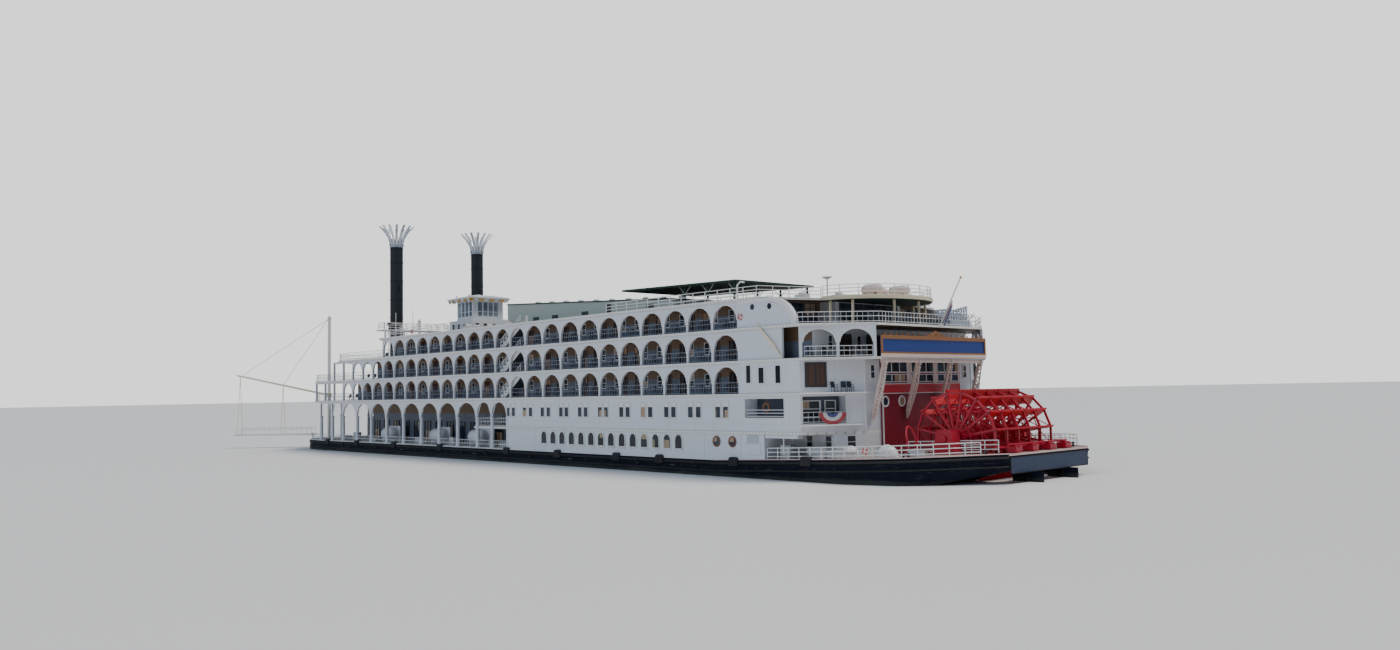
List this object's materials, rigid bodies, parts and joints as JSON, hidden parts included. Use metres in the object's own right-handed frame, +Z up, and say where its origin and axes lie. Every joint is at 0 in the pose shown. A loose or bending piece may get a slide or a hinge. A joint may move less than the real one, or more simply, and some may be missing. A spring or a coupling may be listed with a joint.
{
  "type": "1:10 scale model of a stern-wheel paddle steamer",
  "caption": "River passenger steamer with stacked arched galleries, twin feathered funnels, a pilothouse, landing stages and a large red paddle wheel at the stern.",
  "frame": {"origin": "amidships on the centreline of the hull's flat bottom", "axes": "+X to the bow, +Y to port, +Z up"},
  "size_m": [14.11, 3.327, 3.64],
  "materials": {
    "white_paint": "semi-gloss white enamel on steel plate",
    "cream_paint": "semi-gloss cream enamel",
    "hull_black": "semi-gloss black hull paint, scuffed",
    "wheel_red": "bright red enamel on steel and planks",
    "facade_red": "dark red enamel on planked wall",
    "sign_blue": "blue enamel panel in a gilt frame, blank",
    "awning_green": "dark green awning",
    "funnel_black": "matt black funnel paint",
    "bright_metal": "bright steel"
  },
  "bodies": {
    "ship": {"cabin_deck": "white_paint", "observation_deck": "white_paint", "texas_deck": "white_paint", "sun_deck": "white_paint", "roof_deck": "white_paint", "fore_house": "white_paint", "main_house": "white_paint", "stern_house": "white_paint", "cabin_house": "white_paint", "observation_quarters": "white_paint", "observation_house": "white_paint", "texas_house": "white_paint", "sun_house": "white_paint", "stern_lounge": "white_paint", "port_observation_gallery": "white_paint", "starboard_observation_gallery": "white_paint", "port_texas_gallery": "white_paint", "starboard_texas_gallery": "white_paint", "port_sun_gallery": "white_paint", "starboard_sun_gallery": "white_paint", "port_colonnade": "white_paint", "starboard_colonnade": "white_paint", "port_stern_gallery": "white_paint", "starboard_stern_gallery": "white_paint", "port_stairs": "white_paint", "starboard_stairs": "white_paint", "fore_portal": "white_paint", "roof_house": "white_paint", "stern_struts": "white_paint", "pilothouse": "white_paint", "pilothouse_roof": "white_paint", "bridge": "white_paint", "flagstaff": "white_paint", "port_kingpost": "white_paint", "starboard_kingpost": "white_paint", "hull": "hull_black", "port_fantail": "hull_black", "starboard_fantail": "hull_black", "transom_beam": "hull_black", "stern_roof": "cream_paint", "port_bearing": "wheel_red", "starboard_bearing": "wheel_red", "stern_facade": "facade_red", "stern_sign": "sign_blue", "awning": "awning_green", "port_funnel_foot": "funnel_black", "starboard_funnel_foot": "funnel_black", "calliope": "bright_metal"},
    "paddle_wheel": {"paddle_wheel": "wheel_red"},
    "port_rudder": {"port_rudder": "hull_black"},
    "starboard_rudder": {"starboard_rudder": "hull_black"},
    "port_funnel": {"port_funnel": "funnel_black", "port_crown": "bright_metal"},
    "starboard_funnel": {"starboard_funnel": "funnel_black", "starboard_crown": "bright_metal"},
    "port_boom": {"port_boom": "cream_paint", "port_stage": "white_paint"},
    "starboard_boom": {"starboard_boom": "cream_paint", "starboard_stage": "white_paint"}
  },
  "joints": [
    {"name": "paddle_wheel_spin", "type": "hinge", "parent": "ship", "child": "paddle_wheel", "pos_m": [-5.75, 0, 0.61], "axis": [0, 1, 0], "continuous": true},
    {"name": "port_rudder_turn", "type": "hinge", "parent": "ship", "child": "port_rudder", "pos_m": [-6.315, 0.28, 0.2], "axis": [0, 0, 1], "range_deg": [-40, 40]},
    {"name": "starboard_rudder_turn", "type": "hinge", "parent": "ship", "child": "starboard_rudder", "pos_m": [-6.315, -0.28, 0.2], "axis": [0, 0, 1], "range_deg": [-40, 40]},
    {"name": "port_funnel_fold", "type": "hinge", "parent": "ship", "child": "port_funnel", "pos_m": [3.836, 0.696, 2.18], "axis": [0, -1, 0], "range_deg": [0, 90]},
    {"name": "starboard_funnel_fold", "type": "hinge", "parent": "ship", "child": "starboard_funnel", "pos_m": [3.836, -0.696, 2.18], "axis": [0, -1, 0], "range_deg": [0, 90]},
    {"name": "port_boom_slew", "type": "hinge", "parent": "ship", "child": "port_boom", "pos_m": [6.09, 0.815, 1.085], "axis": [0, 0, 1], "range_deg": [-59, 46]},
    {"name": "starboard_boom_slew", "type": "hinge", "parent": "ship", "child": "starboard_boom", "pos_m": [6.09, -0.815, 1.085], "axis": [0, 0, 1], "range_deg": [-90, 15]}
  ],
  "couplings": [
    {"joint": "starboard_rudder_turn", "follows": "port_rudder_turn", "ratio": 1}
  ]
}
